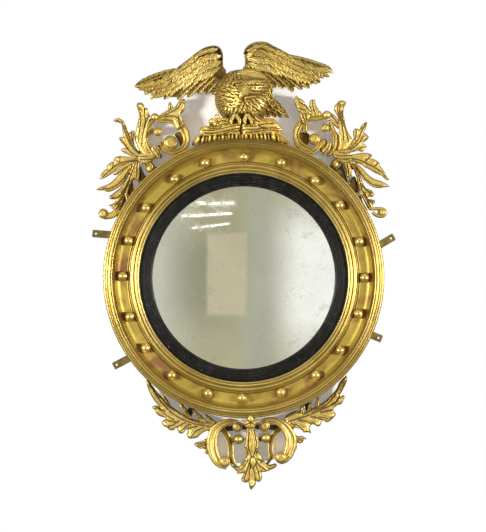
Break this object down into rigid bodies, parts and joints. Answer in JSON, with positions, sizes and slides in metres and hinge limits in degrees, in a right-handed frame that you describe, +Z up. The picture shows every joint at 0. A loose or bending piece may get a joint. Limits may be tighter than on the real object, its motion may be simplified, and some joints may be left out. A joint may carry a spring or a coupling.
{
  "type": "girandole mirror",
  "caption": "Round convex wall mirror in a gilt ball-studded frame with eagle crest, leafy side scrolls and apron, hung by swivelling wall straps.",
  "frame": {"origin": "on the axis of the round frame, in the wall plane", "axes": "+Z up, +Y into the wall, the front faces -Y, +X to the viewer's right"},
  "size_m": [0.7215, 0.118, 1.0528],
  "materials": {
    "gilt_wood": "water-gilded and burnished over red bole, rubbed and darkened in the hollows",
    "pine": "old unfinished softwood",
    "ebonised": "ebonised, worn satin polish with rubbed reeds",
    "mirror_glass": "old silvered glass, lightly foxed",
    "iron": "blackened iron with light rust",
    "strap_metal": "dull bronzed brass",
    "screw_steel": "tarnished steel"
  },
  "bodies": {
    "mirror": {"ball_studs": "gilt_wood", "outer_reeded_rim": "gilt_wood", "cavetto_ring": "gilt_wood", "sight_moulding": "gilt_wood", "left_scroll": "gilt_wood", "right_scroll": "gilt_wood", "left_upper_leaves": "gilt_wood", "right_upper_leaves": "gilt_wood", "left_lower_leaves": "gilt_wood", "right_lower_leaves": "gilt_wood", "apron_pendant_leaf": "gilt_wood", "apron_left_scroll": "gilt_wood", "apron_right_scroll": "gilt_wood", "apron_left_leaf_spray": "gilt_wood", "apron_right_leaf_spray": "gilt_wood", "apron_flower": "gilt_wood", "rock_plinth": "gilt_wood", "eagle_body": "gilt_wood", "eagle_head": "gilt_wood", "eagle_tail": "gilt_wood", "eagle_left_wing": "gilt_wood", "eagle_right_wing": "gilt_wood", "eagle_left_foot": "gilt_wood", "eagle_right_foot": "gilt_wood", "frame_back_ring": "pine", "backboard_plank_upper": "pine", "backboard_plank_middle": "pine", "backboard_plank_lower": "pine", "glazing_blocks": "pine", "eagle_dowels": "pine", "ebonised_slip": "ebonised", "convex_mirror_glass": "mirror_glass", "left_bracket": "iron", "right_bracket": "iron", "crest_plate": "iron", "apron_plate": "iron", "left_bracket_screws": "screw_steel", "right_bracket_screws": "screw_steel", "crest_plate_screws": "screw_steel", "apron_plate_screws": "screw_steel", "rim_screws": "screw_steel", "backboard_screws": "screw_steel", "strap_pivot_screws": "screw_steel"},
    "upper_left_strap": {"wall_strap_upper_left": "strap_metal"},
    "lower_left_strap": {"wall_strap_lower_left": "strap_metal"},
    "upper_right_strap": {"wall_strap_upper_right": "strap_metal"},
    "lower_right_strap": {"wall_strap_lower_right": "strap_metal"}
  },
  "joints": [
    {"name": "upper_left_strap_swivel", "type": "hinge", "parent": "mirror", "child": "upper_left_strap", "pos_m": [-0.2915, -0.00125, 0.0997], "axis": [0, 1, 0], "continuous": true},
    {"name": "lower_left_strap_swivel", "type": "hinge", "parent": "mirror", "child": "lower_left_strap", "pos_m": [-0.249, -0.00125, -0.1793], "axis": [0, 1, 0], "continuous": true},
    {"name": "upper_right_strap_swivel", "type": "hinge", "parent": "mirror", "child": "upper_right_strap", "pos_m": [0.2987, -0.00125, 0.0628], "axis": [0, 1, 0], "continuous": true},
    {"name": "lower_right_strap_swivel", "type": "hinge", "parent": "mirror", "child": "lower_right_strap", "pos_m": [0.2649, -0.00125, -0.1209], "axis": [0, 1, 0], "continuous": true}
  ]
}
